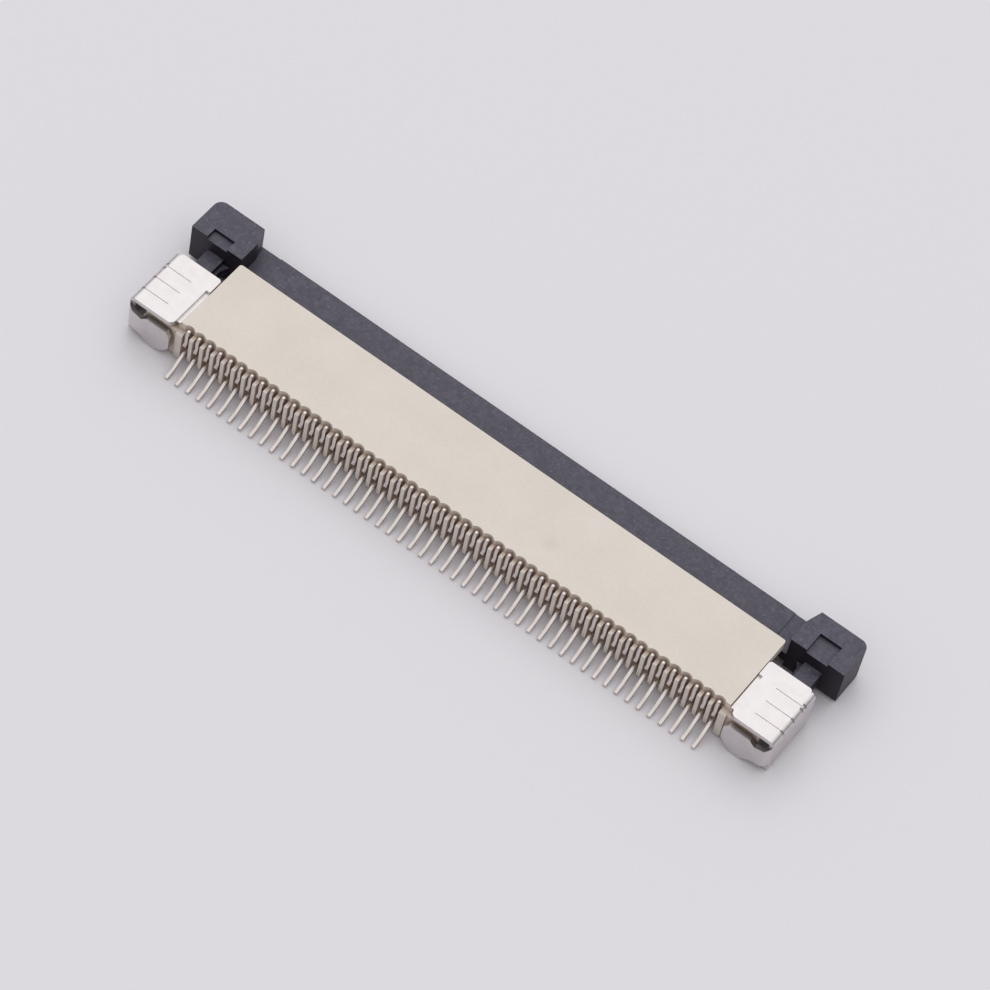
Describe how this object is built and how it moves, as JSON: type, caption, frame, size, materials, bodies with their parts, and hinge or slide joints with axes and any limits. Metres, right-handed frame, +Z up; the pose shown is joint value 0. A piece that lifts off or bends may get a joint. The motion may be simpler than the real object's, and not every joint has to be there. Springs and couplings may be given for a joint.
{
  "type": "flat flexible cable connector",
  "caption": "Low right-angle surface-mount connector for flat flexible cable, with a sliding lock, a comb of spring contacts and a folded sheet-metal hold-down at each end.",
  "frame": {"origin": "on the board, in the middle of the connector's outline with the slider drawn out", "axes": "+X along the row of contacts, +Y out of the mating side where the cable goes in, +Z up from the board"},
  "size_m": [0.0304, 0.0068, 0.002],
  "materials": {
    "housing_plastic": "matte moulded, warm ivory",
    "slider_plastic": "matte moulded, dark grey",
    "tinned_sheet": "bright tin plate",
    "contact_metal": "tin plate over copper alloy"
  },
  "bodies": {
    "connector": {"housing": "housing_plastic", "fitting_left": "tinned_sheet", "fitting_right": "tinned_sheet", "contact_01": "contact_metal", "contact_02": "contact_metal", "contact_03": "contact_metal", "contact_04": "contact_metal", "contact_05": "contact_metal", "contact_06": "contact_metal", "contact_07": "contact_metal", "contact_08": "contact_metal", "contact_09": "contact_metal", "contact_10": "contact_metal", "contact_11": "contact_metal", "contact_12": "contact_metal", "contact_13": "contact_metal", "contact_14": "contact_metal", "contact_15": "contact_metal", "contact_16": "contact_metal", "contact_17": "contact_metal", "contact_18": "contact_metal", "contact_19": "contact_metal", "contact_20": "contact_metal", "contact_21": "contact_metal", "contact_22": "contact_metal", "contact_23": "contact_metal", "contact_24": "contact_metal", "contact_25": "contact_metal", "contact_26": "contact_metal", "contact_27": "contact_metal", "contact_28": "contact_metal", "contact_29": "contact_metal", "contact_30": "contact_metal", "contact_31": "contact_metal", "contact_32": "contact_metal", "contact_33": "contact_metal", "contact_34": "contact_metal", "contact_35": "contact_metal", "contact_36": "contact_metal", "contact_37": "contact_metal", "contact_38": "contact_metal", "contact_39": "contact_metal", "contact_40": "contact_metal", "contact_41": "contact_metal", "contact_42": "contact_metal", "contact_43": "contact_metal", "contact_44": "contact_metal", "contact_45": "contact_metal", "contact_46": "contact_metal", "contact_47": "contact_metal", "contact_48": "contact_metal", "contact_49": "contact_metal", "contact_50": "contact_metal"},
    "slider": {"slider": "slider_plastic"}
  },
  "joints": [
    {"name": "slider_slide", "type": "slide", "parent": "connector", "child": "slider", "axis": [0, -1, 0], "range_m": [0, 0.0012]}
  ]
}
